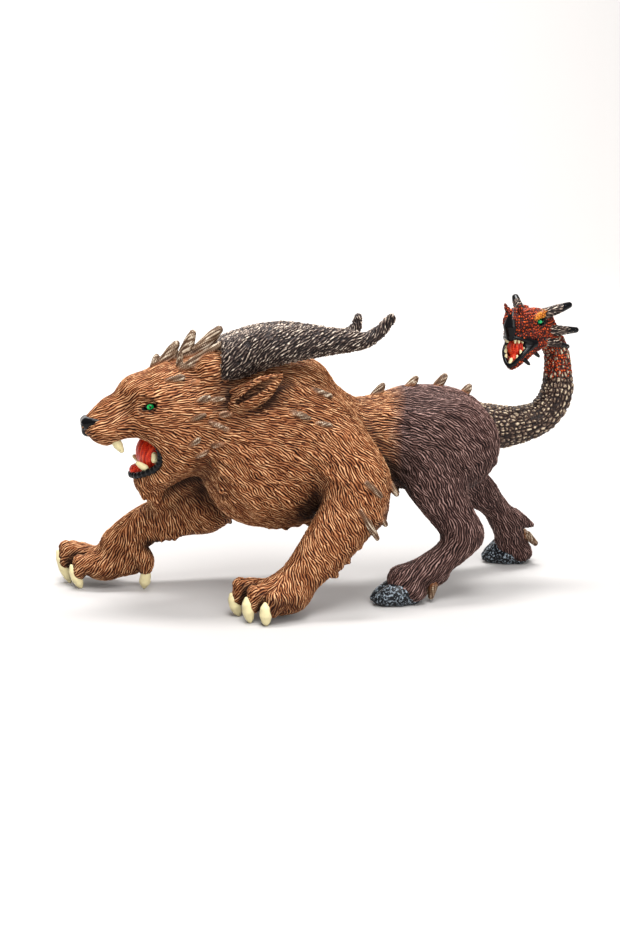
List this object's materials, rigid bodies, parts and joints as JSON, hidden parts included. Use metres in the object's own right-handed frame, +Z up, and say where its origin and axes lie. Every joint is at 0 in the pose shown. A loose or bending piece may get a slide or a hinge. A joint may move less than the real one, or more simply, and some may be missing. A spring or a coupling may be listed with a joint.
{
  "type": "chimera figurine",
  "caption": "Painted plastic toy figurine of a chimera: lion forequarters, goat horns and hindquarters, and a snake-headed tail, standing on its claws and hooves.",
  "frame": {"origin": "on the ground under the middle of the figure's bounding box", "axes": "+X from the head to the tail, along the figure's length; +Y to the creature's right side; +Z up"},
  "size_m": [0.1852, 0.0756, 0.1034],
  "materials": {
    "lion_coat": "painted fur, tawny ridges over dark brown grooves, satin",
    "goat_coat": "painted fur, dark brown with dusty pink-brown strands, satin",
    "horn": "near-black with pale dry-brushed ridges",
    "spikes": "grey-brown with pale streaks",
    "claws": "ivory paint, low gloss",
    "hooves": "black with grey-blue dry brushing",
    "snake_skin": "scales, beige on dark brown, orange towards the head",
    "mouth": "red-orange paint, glossy",
    "black_gloss": "black paint, glossy",
    "eyes": "green iris with a black pupil and rim, glossy"
  },
  "bodies": {
    "root": {"chimera_figure": "lion_coat"}
  },
  "joints": []
}
